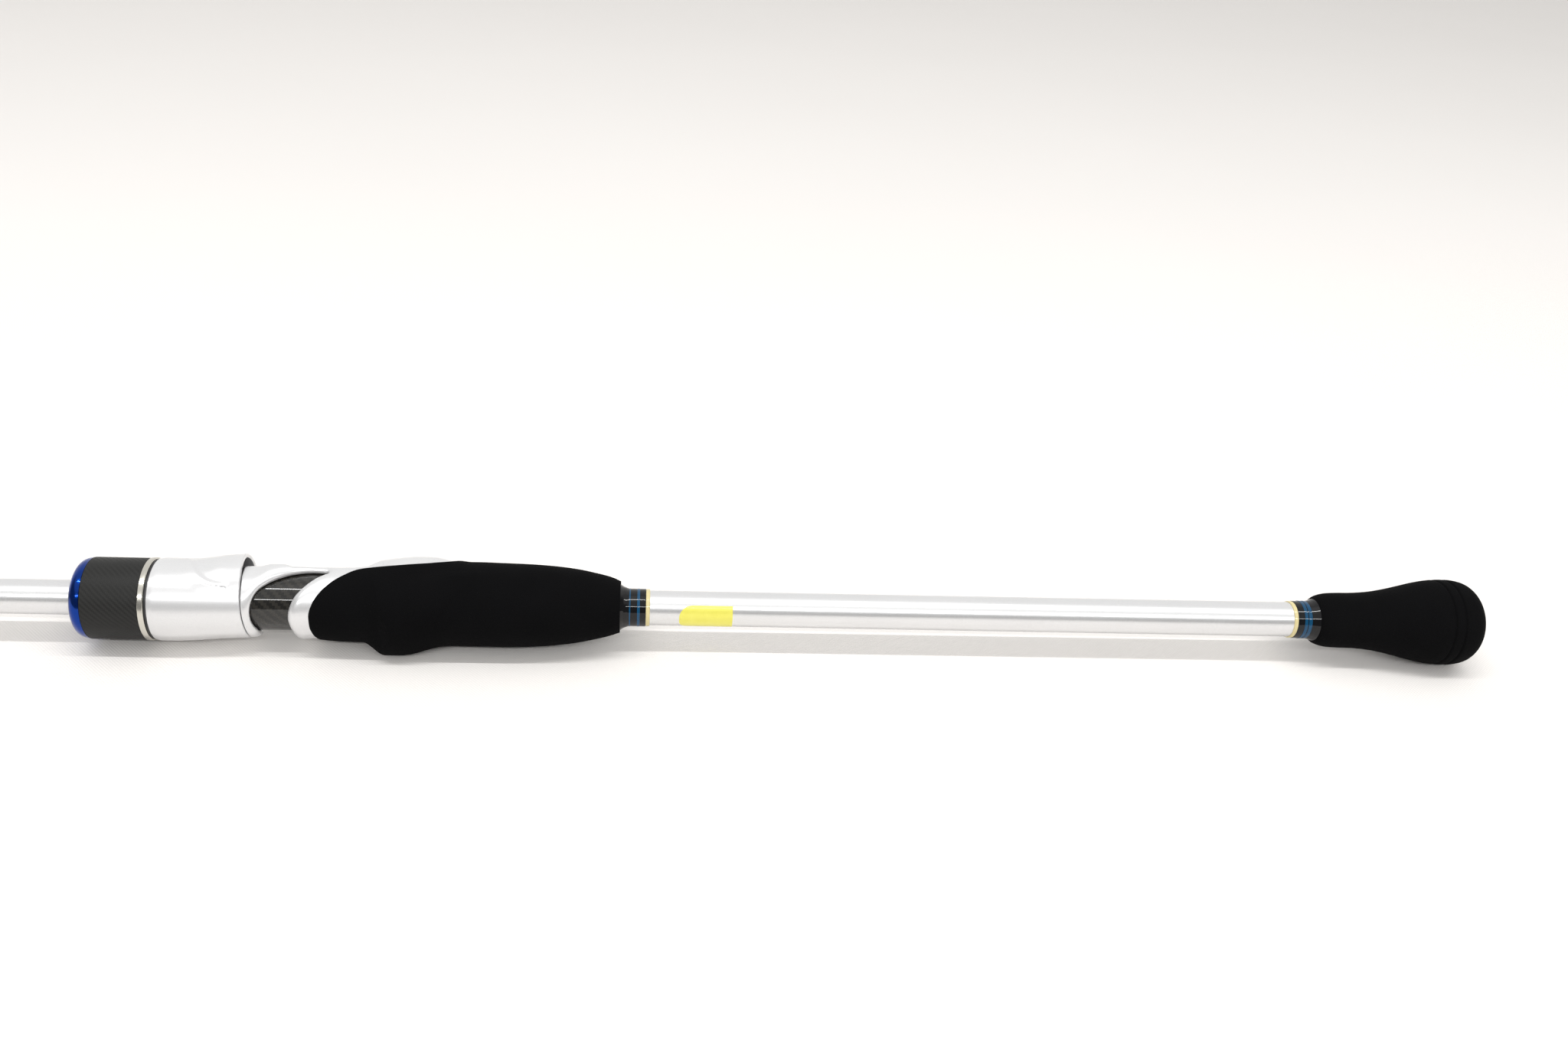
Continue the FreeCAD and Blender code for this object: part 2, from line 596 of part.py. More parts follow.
doc.recompute()
for item in doc.Objects:
    bad = [word for word in item.State if word in ("Invalid", "Error")]
    if bad:
        raise RuntimeError("%s is %s" % (item.Name, bad))
os.makedirs("parts", exist_ok=True)
for item in subparts:
    if item.Shape.isNull() or not item.Shape.isValid():
        raise RuntimeError("%s has no valid shape" % item.Label)
    item.Shape.exportStep("parts/%s.step" % item.Label)
    print("%-16s %2d solid(s) %10.2f mm3" % (item.Label, len(item.Shape.Solids), item.Shape.Volume))
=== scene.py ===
"""Looks for a one-piece casting rod: foam knob and trigger grip, silver reel seat, lock nut, guides.

Shapes are worked out in the rod's own millimetres: t runs from the butt to the tip, and the
angle phi goes round the rod from the reel side (0) through the near side (90) to the trigger side.
"""

import math

import bmesh
import bpy
import numpy as np
import openvdb
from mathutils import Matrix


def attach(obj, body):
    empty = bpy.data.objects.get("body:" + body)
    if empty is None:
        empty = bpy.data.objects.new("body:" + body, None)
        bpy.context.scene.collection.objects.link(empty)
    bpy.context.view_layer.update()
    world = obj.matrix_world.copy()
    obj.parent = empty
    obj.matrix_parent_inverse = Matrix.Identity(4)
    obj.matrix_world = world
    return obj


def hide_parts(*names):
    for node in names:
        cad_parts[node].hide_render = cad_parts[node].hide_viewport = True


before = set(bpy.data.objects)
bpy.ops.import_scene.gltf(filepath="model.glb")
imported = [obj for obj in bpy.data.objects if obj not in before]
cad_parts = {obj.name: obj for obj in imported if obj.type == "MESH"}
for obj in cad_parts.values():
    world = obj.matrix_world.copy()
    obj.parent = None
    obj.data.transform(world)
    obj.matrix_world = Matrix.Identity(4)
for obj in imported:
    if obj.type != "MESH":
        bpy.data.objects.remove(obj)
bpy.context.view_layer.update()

ROLL = math.radians(40)          # how far the reel side leans back from straight up
BUTT = 4.2                       # the station of the knob's flat end, where the frame starts
FLOOR = -14.6                    # the knob's widest part rests on the floor
AROUND = 144                     # facets round a turned piece
HOME = "rod"
PIPE_RAD = 9.2                   # the reel seat's carbon pipe
SLEEVE_RAD = 12.5                # the lock nut's sleeve, as its weave is counted
SMALL_TILT = 0.01                # the step, in millimetres, that slopes are measured over
# brightness of the surround: low in front, higher in front, overhead, and behind
SKY_LOW, SKY_MID, SKY_TOP, SKY_BACK = 0.25, 0.8, 1.3, 0.9


# ------------------------------------------------------------------------------ geometry
def row(points):
    """Rod millimetres (along, near side, reel side) as metres in the frame."""
    p = np.asarray(points, float)
    t, y, z = p[..., 0], p[..., 1], p[..., 2]
    c, s = math.cos(ROLL), math.sin(ROLL)
    return np.stack([BUTT - t, z * s - y * c, y * s + z * c], axis=-1) / 1000


def spline(points, per=8):
    """A smooth open line through the points."""
    p = np.array(points, float)
    p = np.vstack([2 * p[0] - p[1], p, 2 * p[-1] - p[-2]])
    s = np.linspace(0, 1, per, endpoint=False)[:, None]
    out = []
    for k in range(1, len(p) - 2):
        a, b, c, d = p[k - 1], p[k], p[k + 1], p[k + 2]
        out.append(0.5 * (2 * b + (c - a) * s + (2 * a - 5 * b + 4 * c - d) * s ** 2
                          + (3 * b - a - 3 * c + d) * s ** 3))
    return np.vstack(out + [p[-2:-1]])


def curve(points):
    """A smooth function through (x, y) points that never overshoots them."""
    xs, ys = np.array(points, float).T
    h = np.diff(xs)
    d = np.diff(ys) / h
    m = np.zeros_like(ys)
    m[0], m[-1] = d[0], d[-1]
    same = d[:-1] * d[1:] > 0
    w1, w2 = 2 * h[1:] + h[:-1], h[1:] + 2 * h[:-1]
    before, after = np.where(same, d[:-1], 1), np.where(same, d[1:], 1)
    m[1:-1] = np.where(same, (w1 + w2) / (w1 / before + w2 / after), 0)

    def at(x):
        x = np.clip(np.asarray(x, float), xs[0], xs[-1])
        k = np.clip(np.searchsorted(xs, x, side="right") - 1, 0, len(h) - 1)
        s = (x - xs[k]) / h[k]
        return (ys[k] * (1 + 2 * s) * (1 - s) ** 2 + m[k] * h[k] * s * (1 - s) ** 2
                + ys[k + 1] * s * s * (3 - 2 * s) + m[k + 1] * h[k] * s * s * (s - 1))

    return at


def step(low, high, x):
    """0 below low, 1 above high, and smooth between."""
    s = np.clip((x - low) / (high - low), 0, 1)
    return s * s * (3 - 2 * s)


def soft_max(a, b, reach):
    """The larger of a and b, with the corner between them rounded over reach."""
    h = np.clip(reach - np.abs(a - b), 0, None) / reach
    return np.maximum(a, b) + h * h * reach / 4


def rounded(corners, steps=6):
    """A closed outline with each corner (x, y, radius) rounded; radius may be left out."""
    out = []
    count = len(corners)
    for k, corner in enumerate(corners):
        p = np.array(corner[:2], float)
        radius = corner[2] if len(corner) > 2 else 0
        if radius <= 0:
            out.append(p)
            continue
        a = np.array(corners[k - 1][:2], float) - p
        b = np.array(corners[(k + 1) % count][:2], float) - p
        la, lb = np.linalg.norm(a), np.linalg.norm(b)
        a, b = a / la, b / lb
        half = math.acos(np.clip(a @ b, -1, 1)) / 2
        reach = min(radius / math.tan(half), 0.49 * min(la, lb))
        real = reach * math.tan(half)
        centre = p + (a + b) / np.linalg.norm(a + b) * real / math.sin(half)
        start, end = p + a * reach - centre, p + b * reach - centre
        sweep = math.pi - 2 * half
        for s in np.linspace(0, 1, steps + 1):
            out.append(centre + (math.sin((1 - s) * sweep) * start + math.sin(s * sweep) * end)
                       / math.sin(sweep))
    return np.array(out)


def build(name, points, faces, uvs=None, sharp=40, merge=True):
    """A piece from frame points and faces, with its surface millimetres in the uv map 'mm'."""
    mesh = bpy.data.meshes.new(name)
    mesh.from_pydata(points.tolist(), [], faces)
    if uvs is not None:
        layer = mesh.uv_layers.new(name="mm")
        layer.data.foreach_set("uv", np.asarray(uvs, np.float32).ravel())
    bm = bmesh.new()
    bm.from_mesh(mesh)
    if merge:
        bmesh.ops.remove_doubles(bm, verts=bm.verts, dist=1e-7)
    bmesh.ops.recalc_face_normals(bm, faces=bm.faces)
    bm.to_mesh(mesh)
    bm.free()
    mesh.shade_smooth()
    mesh.set_sharp_from_angle(angle=math.radians(sharp))
    piece = bpy.data.objects.new(name, mesh)
    bpy.context.scene.collection.objects.link(piece)
    return piece


def skin(name, grid, loop=False, girth=None, sharp=40):
    """A skin over rings of points; loop joins the last ring back to the first."""
    rings, around = grid.shape[:2]
    spans = rings if loop else rings - 1
    i, j = np.meshgrid(np.arange(spans), np.arange(around), indexing="ij")
    i2, j2 = (i + 1) % rings, (j + 1) % around
    faces = np.stack([i * around + j, i2 * around + j, i2 * around + j2, i * around + j2], -1)
    lengths = np.linalg.norm(np.diff(np.concatenate([grid, grid[:1]]), axis=0), axis=-1).mean(1)
    u = np.concatenate([[0], np.cumsum(lengths)])
    radius = np.hypot(grid[..., 1], grid[..., 2]).max() if girth is None else girth
    v = np.linspace(0, 2 * math.pi * radius, around + 1)
    uv = np.stack([np.stack([u[i + a], v[j + b]], -1)
                   for a, b in ((0, 0), (1, 0), (1, 1), (0, 1))], 2)
    return build(name, row(grid).reshape(-1, 3), faces.reshape(-1, 4).tolist(), uv, sharp)


def angles(count=AROUND):
    return np.linspace(0, 2 * math.pi, count, endpoint=False)


def turned(t, r, phi):
    """Rod points at stations t and radii r, round the angles phi."""
    return np.stack([t + 0 * phi, r * np.sin(phi), r * np.cos(phi)], -1)


def lathe(name, outline, around=AROUND, girth=None, sharp=40):
    """A turned piece from a closed outline of (t, r) points."""
    outline = np.asarray(outline, float)
    grid = turned(outline[:, :1], outline[:, 1:2], angles(around)[None, :])
    return skin(name, grid, True, girth, sharp)


def dress(piece, material, body=HOME, nodes=()):
    """Gives a piece its material, the body it moves with and the CAD nodes it stands for."""
    piece.data.materials.clear()
    piece.data.materials.append(material)
    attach(piece, body)
    if nodes:
        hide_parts(*nodes)
    return piece


# ----------------------------------------------------------------------------- materials
class Paint:
    """A node material: a Principled shader plus whatever feeds it."""

    def __init__(self, name, colour, rough, metal=0.0, coat=0.0, coat_rough=0.03, specular=0.5):
        self.material = bpy.data.materials.new(name)
        self.material.use_nodes = True
        self.tree = self.material.node_tree
        self.shader = next(n for n in self.tree.nodes if n.type == "BSDF_PRINCIPLED")
        self.set("Base Color", (*colour, 1))
        self.set("Roughness", rough)
        self.set("Metallic", metal)
        self.set("Coat Weight", coat)
        self.set("Coat Roughness", coat_rough)
        self.set("IOR", 1.5)
        self.set("Specular IOR Level", specular)

    def set(self, socket, value):
        self.shader.inputs[socket].default_value = value

    def node(self, kind, **values):
        made = self.tree.nodes.new(kind)
        for key, value in values.items():
            if key in made.inputs.keys():
                made.inputs[key].default_value = value
            else:
                setattr(made, key, value)
        return made

    def link(self, output, target, socket):
        self.tree.links.new(output, target.inputs[socket])

    def math(self, operation, a, b=None, c=None, clamp=False):
        made = self.node("ShaderNodeMath", operation=operation, use_clamp=clamp)
        for k, value in enumerate((a, b, c)):
            if value is None:
                continue
            if isinstance(value, (int, float)):
                made.inputs[k].default_value = value
            else:
                self.tree.links.new(value, made.inputs[k])
        return made.outputs[0]

    def place(self):
        """Coordinates in millimetres of the frame."""
        scaled = self.node("ShaderNodeVectorMath", operation="SCALE", Scale=1000.0)
        self.link(self.node("ShaderNodeTexCoord").outputs["Object"], scaled, 0)
        return scaled.outputs[0]

    def surface(self):
        """(along, round) in millimetres on the surface."""
        split = self.node("ShaderNodeSeparateXYZ")
        self.link(self.node("ShaderNodeUVMap", uv_map="mm").outputs[0], split, 0)
        return split.outputs[0], split.outputs[1]

    def noise(self, scale, detail=2.0, rough=0.5):
        """Cloudy noise, from 0 to 1; scale is features in a millimetre."""
        made = self.node("ShaderNodeTexNoise", Scale=scale, Detail=detail, Roughness=rough)
        self.link(self.place(), made, "Vector")
        return made.outputs["Fac"]

    def cells(self, scale):
        """The distance to the nearest of scattered cell centres; scale is cells in a millimetre."""
        made = self.node("ShaderNodeTexVoronoi", Scale=scale)
        self.link(self.place(), made, "Vector")
        return made.outputs["Distance"]

    def colour(self, value, low, high):
        """The base colour runs from low to high with value."""
        made = self.node("ShaderNodeMix", data_type="RGBA")
        self.link(value, made, "Factor")
        made.inputs[6].default_value = (*low, 1)
        made.inputs[7].default_value = (*high, 1)
        self.link(made.outputs[2], self.shader, "Base Color")

    def rough(self, value, low, high):
        """The roughness runs from low to high with value."""
        made = self.node("ShaderNodeMapRange", **{"To Min": low, "To Max": high})
        self.link(value, made, "Value")
        self.link(made.outputs[0], self.shader, "Roughness")

    def bump(self, height, depth, strength=1.0):
        """depth is the height of a full step, in millimetres."""
        made = self.node("ShaderNodeBump", Strength=strength, Distance=depth / 1000)
        self.link(height, made, "Height")
        self.link(made.outputs[0], self.shader, "Normal")
        return self


def foam_material():
    """Black closed-cell foam."""
    p = Paint("foam_black", (0.003, 0.003, 0.0033), 0.9, specular=0.05)
    fine = p.cells(2.6)
    grain = p.noise(5.5, 4, 0.6)
    wide = p.noise(0.09, 2, 0.5)
    p.colour(p.math("MULTIPLY_ADD", grain, 0.6, p.math("MULTIPLY", wide, 0.4)),
             (0.0012, 0.0012, 0.0014), (0.0048, 0.0048, 0.0052))
    p.rough(grain, 0.82, 0.97)
    return p.bump(p.math("ADD", fine, grain), 0.07, 0.8).material


def silver_paint(name, colour, rough, metal=0.6, depth=0.001):
    """Metal-flake silver under a thin clear coat."""
    p = Paint(name, colour, rough, metal, coat=0.12, coat_rough=0.2)
    flakes = p.cells(9.0)
    cloud = p.noise(0.05, 2)
    mix = p.math("MULTIPLY_ADD", flakes, 0.5, p.math("MULTIPLY", cloud, 0.5))
    p.colour(mix, tuple(c * 0.93 for c in colour), tuple(min(1, c * 1.06) for c in colour))
    p.rough(flakes, rough - 0.05, rough + 0.06)
    return p.bump(flakes, depth, 0.35).material if depth else p.material


def twill(p, along, around, cell):
    """A 2/2 twill of flat tows, cell millimetres wide: a height, and which way each tow runs."""
    u = p.math("DIVIDE", along, cell)
    v = p.math("DIVIDE", around, cell)
    iu, iv = p.math("FLOOR", u), p.math("FLOOR", v)
    phase = p.math("FLOORED_MODULO", p.math("ADD", iu, iv), 4.0)
    over = p.math("LESS_THAN", phase, 1.5)
    fu, fv = p.math("FRACT", u), p.math("FRACT", v)

    def crown(f):
        centred = p.math("SUBTRACT", f, 0.5)
        return p.math("SUBTRACT", 1.0, p.math("MULTIPLY", p.math("MULTIPLY", centred, centred), 3.2))

    pick = p.node("ShaderNodeMix", data_type="FLOAT")
    p.link(over, pick, 0)
    p.link(crown(fu), pick, 2)
    p.link(crown(fv), pick, 3)
    return pick.outputs[0], over


def carbon_gloss():
    """Carbon cloth under clear gloss."""
    p = Paint("carbon_gloss", (0.012, 0.012, 0.013), 0.4, 0.0, 1.0, 0.025, specular=0.05)
    p.set("Coat IOR", 1.55)
    along, around = p.surface()
    height, over = twill(p, along, around, 2 * math.pi * PIPE_RAD / 68)
    threads = p.math("FRACT", p.math("MULTIPLY", p.math("ADD", along, around), 3.0))
    lit = p.math("MULTIPLY", p.math("MULTIPLY_ADD", over, 0.62, 0.25),
                 p.math("MULTIPLY_ADD", threads, 0.25, 0.8))
    p.colour(lit, (0.0005, 0.0005, 0.0004), (0.021, 0.019, 0.015))
    p.rough(over, 0.3, 0.42)
    return p.bump(height, 0.02, 0.6).material


def carbon_matte():
    """Dull carbon cloth."""
    p = Paint("carbon_matte", (0.03, 0.03, 0.031), 0.55, specular=0.25)
    along, around = p.surface()
    height, over = twill(p, along, around, 2 * math.pi * SLEEVE_RAD / 176)
    p.colour(over, (0.010, 0.010, 0.0095), (0.018, 0.018, 0.017))
    p.rough(over, 0.48, 0.62)
    return p.bump(height, 0.03, 0.7).material


def thread_material(name, low, high):
    """Close turns of thread under a clear epoxy coat, each turn's colour painted lighter on its crown
    and darker in the groove between turns: painted shade.
    """
    pitch, turn = 0.22, 38.0     # a thread's width, and once round the wrap
    p = Paint(name, high, 0.5, 0.0, 0.9, 0.02, specular=0.0)
    p.set("Coat IOR", 1.45)
    along, around = p.surface()
    slope = p.math("MULTIPLY_ADD", p.math("DIVIDE", around, turn), pitch, along)
    wave = p.math("SINE", p.math("MULTIPLY", slope, 2 * math.pi / pitch))
    up = p.math("MULTIPLY_ADD", wave, 0.5, 0.5)
    # the colour runs from low in the grooves between turns to high on the crowns: painted shade in the
    # grooves
    p.colour(up, low, high)
    return p.bump(up, 0.03, 0.6).material


def metal_material(name, colour, rough, coat=0.0):
    """Bare or anodised metal, a little uneven."""
    p = Paint(name, colour, rough, 1.0, coat)
    smear = p.noise(0.6, 3, 0.6)
    p.colour(smear, tuple(c * 0.94 for c in colour), colour)
    p.rough(smear, rough - 0.03, rough + 0.05)
    return p.material


def plastic_material(name, colour, rough):
    """Plastic or rubber with a fine grain."""
    p = Paint(name, colour, rough)
    grain = p.noise(3.0, 3, 0.6)
    p.colour(grain, tuple(c * 0.85 for c in colour), tuple(c * 1.15 for c in colour))
    p.rough(grain, rough - 0.05, rough + 0.08)
    return p.bump(grain, 0.01, 0.5).material


def label_material():
    """Yellow film."""
    p = Paint("label_yellow", (0.80, 0.74, 0.10), 0.35, 0.2, 0.4, 0.08)
    mottle = p.noise(0.5, 2)
    p.colour(mottle, (0.76, 0.70, 0.09), (0.84, 0.79, 0.15))
    return p.material


def floor_material():
    """Pale cloth with a faint weave."""
    weave = 2 * math.pi / 1.1
    p = Paint("pale_cloth", (0.83, 0.805, 0.78), 0.9, specular=0.2)
    wide = p.noise(0.004, 2)
    p.colour(wide, (0.82, 0.795, 0.77), (0.84, 0.815, 0.79))
    split = p.node("ShaderNodeSeparateXYZ")
    p.link(p.place(), split, 0)
    ribs = p.math("SINE", p.math("MULTIPLY", split.outputs[0], weave))
    cross = p.math("SINE", p.math("MULTIPLY", split.outputs[1], weave))
    return p.bump(p.math("MULTIPLY", ribs, cross), 0.05, 0.6).material


FOAM = foam_material()
BLANK_PAINT = silver_paint("blank_silver", (0.75, 0.75, 0.755), 0.29, metal=0.8, depth=0)
SEAT_PAINT = silver_paint("seat_silver", (0.74, 0.74, 0.745), 0.3)
CARBON_GLOSS = carbon_gloss()
CARBON_MATTE = carbon_matte()
# each thread's first colour is its painted shade in the grooves between turns, the second its crown
BLACK_THREAD = thread_material("thread_black", (0.001, 0.001, 0.0015), (0.003, 0.003, 0.004))
BLUE_THREAD = thread_material("thread_blue", (0.0, 0.015, 0.045), (0.004, 0.09, 0.20))
GOLD_THREAD = thread_material("thread_gold", (0.45, 0.36, 0.14), (0.85, 0.76, 0.45))
NICKEL = metal_material("bright_nickel", (0.64, 0.62, 0.56), 0.22)
BLUE_ANODISED = metal_material("blue_anodised", (0.001, 0.036, 0.27), 0.14, coat=0.25)
GUIDE_METAL = metal_material("guide_metal", (0.10, 0.10, 0.11), 0.2)
GUIDE_CERAMIC = metal_material("guide_ceramic", (0.02, 0.02, 0.023), 0.12, coat=0.5)
BLACK_PLASTIC = plastic_material("black_plastic", (0.01, 0.01, 0.011), 0.4)
ARBOR_FOAM = plastic_material("arbor_foam", (0.02, 0.02, 0.02), 0.85)
LABEL = label_material()


# --------------------------------------------------------------------------------- blank
def blank_radius(t):
    """The tapered blank's outer radius."""
    return np.interp(t, [7.2, 480, 1898], [5.95, 5.45, 1.05])


def make_blank():
    """The painted blank, hollow from end to end."""
    t = np.concatenate([np.linspace(7.5, 480, 40), np.linspace(520, 1898, 60)])
    outer = blank_radius(t)
    inner = np.interp(t, [7.5, 480, 1898], [4.7, 4.2, 0.45])
    outline = np.vstack([np.stack([t, outer], 1), np.stack([t, inner], 1)[::-1]])
    dress(lathe("rod_blank", outline), BLANK_PAINT, nodes=("blank",))


# --------------------------------------------------------------------------------- knob
KNOB = [(4.6, 0.01), (4.6, 7.2), (5.2, 9.4), (6.8, 11.8), (9.3, 13.6), (12.6, 14.45), (16.1, 14.6),
        (20.3, 14.35), (24.4, 13.7), (28.6, 12.75), (32.7, 11.75), (36.8, 10.85), (41, 10.1),
        (45.1, 9.65), (49.2, 9.42), (53.4, 9.35), (57.5, 9.1), (60.4, 8.4), (62, 7.4), (62.4, 6.3)]


def make_knob():
    """The foam butt knob, with its two engraved lines."""
    groove_size = 0.42           # depth, and half width
    t, r = spline(KNOB, 14).T
    dense = np.linspace(0, len(t) - 1, 900)
    dense_t = np.interp(dense, np.arange(len(t)), t)
    dense_r = np.interp(dense, np.arange(len(t)), r)
    for groove in (15.2, 18.7):
        dip = groove_size * np.exp(-((dense_t - groove) / groove_size) ** 2)
        dense_r = dense_r - dip * (dense_r > 12)
    outline = np.vstack([np.stack([dense_t, dense_r], 1), [(61, 6.0), (8, 6.0), (7.4, 0.01)]])
    knob = lathe("butt_knob_foam", outline, around=192)
    dress(knob, FOAM, nodes=("butt_knob",))


# --------------------------------------------------------------------------- thread wraps
def wrap(name, start, end, height, material, slot, nodes, shoulder=0.35, fillet=0.0):
    """A sleeve of thread and epoxy that rises height above the blank, and more in a fillet at the foam.

    The end listed first is the one that stands against the foam.
    """
    low = float(blank_radius((start + end) / 2))
    top = low + height
    corners = [(start, low - 0.3), (start, top + fillet, 0 if fillet else shoulder)]
    if fillet:
        way = 1 if end > start else -1
        corners += [(start + way * 1.2, top + fillet * 0.45, 2), (start + way * 2.9, top, 3)]
    corners += [(end, top, shoulder), (end, low - 0.3)]
    piece = lathe(name, rounded(corners, 10), around=120, sharp=50)
    return dress(piece, material, nodes=nodes)


def make_handle_wraps():
    """The wraps in front of the knob and behind the grip."""
    black, blue = (BLACK_THREAD, "black_thread"), (BLUE_THREAD, "blue_thread")
    gold = (GOLD_THREAD, "gold_thread")
    wrap("butt_wrap_thread", 62.2, 69.8, 0.42, *black, ("butt_wrap",), fillet=0.8)
    outline = rounded([(64.9, 5.6), (64.9, 6.43, 0.12), (66.05, 6.43, 0.1), (66.15, 6.25),
                       (66.35, 6.25), (66.45, 6.43, 0.1), (67.5, 6.43, 0.12), (67.5, 5.6)])
    dress(lathe("butt_wrap_blue_band", outline), BLUE_THREAD,
          nodes=("butt_wrap_blue",))
    wrap("butt_wrap_gold_trim", 69.6, 71.0, 0.36, *gold, ("butt_wrap_trim",))
    wrap("grip_wrap_gold_trim", 286.7, 288.1, 0.36, *gold, ("grip_wrap_trim",))
    wrap("grip_wrap_thread", 296.4, 287.9, 0.44, *black, ("grip_wrap",), fillet=1.5)
    wrap("grip_wrap_blue_band", 289.9, 290.8, 0.48, *blue, ("grip_wrap_blue",), 0.1)
    wrap("grip_wrap_blue_line", 292.9, 293.4, 0.48, *blue, ("grip_wrap_line",), 0.1)


# ------------------------------------------------------------------------------ foam grip
# radius by t, on the reel side and on the trigger side
GRIP_REAR = 296.2
GRIP_REEL = curve([(296.2, 8.4), (299, 9.6), (304, 10.85), (311, 12.15), (319, 12.95), (326, 13.3),
                   (333, 13.45), (341, 13.6), (348, 13.5), (356, 13.0), (366, 12.5), (376, 12.2),
                   (391.5, 11.85)])
GRIP_TRIGGER = curve([(296.2, 8.2), (299, 9.2), (304, 10.5), (311, 11.9), (319, 12.85), (326, 13.3),
                      (333, 13.45), (341, 13.4), (350, 13.35), (358, 12.75), (366, 12.4),
                      (376, 12.6), (383, 12.5), (387, 12.25), (391.5, 11.75)])
# by phi: where the grip ends, and the trigger's ridge with its front, rear and height
GRIP_EDGE = curve([(0, 346.5), (8, 347.5), (18, 349.6), (25, 352.2), (31, 356.0), (34, 361),
                   (35.6, 366), (36.8, 371), (38, 375), (40, 377.8), (44, 379.8), (50, 381.6),
                   (57, 383.5), (65, 385.4), (84, 388.7), (99, 390.6), (121, 392.0), (137, 392.0),
                   (154, 391.5), (180, 390.6)])
RIDGE_FRONT = curve([(50, 374.5), (78, 372.2), (96, 370.8), (114, 369.1), (124, 368.1),
                     (134, 367.6), (148, 367.9), (165, 369), (180, 369.4)])
RIDGE_REAR = curve([(50, 346), (57, 350), (66, 355.3), (78, 358.5), (92, 361.7), (106, 363.9),
                    (120, 365.5), (132, 366.5), (148, 366.8), (165, 366), (180, 365)])
RIDGE_HEIGHT = curve([(44, 0), (60, 0.5), (76, 0.85), (90, 1.2), (114, 1.9), (137, 2.7),
                      (150, 3.2), (165, 3.8), (180, 4.15)])
# the fixed rear hood: how high its crown is by t, and how round it is
HUMP_ROUND = 9.9
HUMP_TOP = curve([(340, 11.5), (346, 12.9), (350.5, 13.95), (355, 14.9), (360, 15.0),
                  (367.5, 14.3), (378, 12.35), (385.5, 11.3), (412, 10)])


def off_centre(up, radius, angle):
    """The distance from the axis to a circle whose centre is lifted off it, at an angle."""
    return up * np.cos(angle) + np.sqrt(radius ** 2 - (up * np.sin(angle)) ** 2)


def hump_radius(t, phi):
    """How far the fixed rear hood stands out from the rod's axis."""
    return off_centre(HUMP_TOP(t) - HUMP_ROUND, HUMP_ROUND, np.radians(phi))


def grip_radius(t, phi):
    """The foam grip's outer radius; phi in degrees from the reel side, 0 to 180."""
    side = (1 - np.cos(np.radians(phi))) / 2
    base = GRIP_REEL(t) * (1 - side) + GRIP_TRIGGER(t) * side
    front, rear, height = RIDGE_FRONT(phi), RIDGE_REAR(phi), RIDGE_HEIGHT(phi)
    scoop = np.clip(1 - (t - front) / 3.8, 0, 1) ** 2       # concave, on the flank
    swell = 1 - step(0, 7.5, t - front)                     # rounded, at the trigger's tip
    tip = step(135, 175, phi)
    ahead = scoop * (1 - tip) + swell * tip
    behind = step(0, 1, 1 - (rear - t) / 16)
    shape = np.where(t > front, ahead, np.where(t < rear, behind, 1))
    climb = hump_radius(t, phi) + 0.3 - 6 * (1 - step(330, 348, t))
    flank = step(62, 78, phi) * (1 - step(140, 165, phi))
    fold = 0.35 * np.exp(-((t - front) / 0.5) ** 2) + 0.2 * np.exp(-((t - rear + 14) / 0.9) ** 2)
    return soft_max(base + height * shape - fold * flank, climb, 2.0)


def ring_stack(phi):
    """A list of rings, and a call that adds one at stations t with radii r."""
    rings = []

    def ring(t, r):
        rings.append(turned(t + 0 * phi, r + 0 * phi, phi))

    return rings, ring


def make_grip():
    """The foam grip, with its swept front edge and stub trigger."""
    spans, edge, rear = 260, 1.1, GRIP_REAR
    seat_bore, step_bore, wrap_bore = 10.4, 9.3, 6.5
    fine = np.linspace(0, 180, 2001)     # evenly spaced facets along the swept edge
    across = np.radians(0.09) * 13
    along = np.cumsum(np.hypot(np.diff(GRIP_EDGE(fine), prepend=GRIP_EDGE(0)), across + 0 * fine))
    half = np.interp(np.linspace(along[0], along[-1], 161), along, fine)
    degrees = np.concatenate([half, half[-2:0:-1]])
    phi = np.radians(np.concatenate([half, 360 - half[-2:0:-1]]))
    end = GRIP_EDGE(degrees)
    rings, ring = ring_stack(phi)
    ring(rear, wrap_bore)
    ring(rear, 7.2)
    for s in np.linspace(0, 1, spans):
        t = rear + s * (end - edge - rear)
        ring(t, grip_radius(t, degrees))
    top = grip_radius(end - edge, degrees)
    for a in np.linspace(0, math.pi / 2, 8)[1:]:
        ring(end - edge + edge * math.sin(a), top - edge * (1 - math.cos(a)))
    ring(end, seat_bore + 0.2)
    ring(end - 0.5, seat_bore)
    ring(310.0, seat_bore)
    ring(309.8, step_bore)
    ring(306.0, step_bore)
    ring(305.8, wrap_bore)
    grip = skin("trigger_grip_foam", np.array(rings), loop=True, sharp=60)
    dress(grip, FOAM, nodes=("trigger_grip",))


# ------------------------------------------------------------------------------ reel seat
# the skin's radius by t, on the trigger side and on the reel side
SEAT_LOW = curve([(340, 11.0), (376, 11.0), (384, 11.1), (390, 11.5), (396, 11.85), (403, 11.85),
                  (408, 11.6), (411.5, 11.15)])
SEAT_HIGH = curve([(340, 10.6), (384, 11.2), (391, 11.7), (397, 12.2), (401, 12.65), (404, 12.7),
                   (408, 11.8), (411.5, 11.35)])
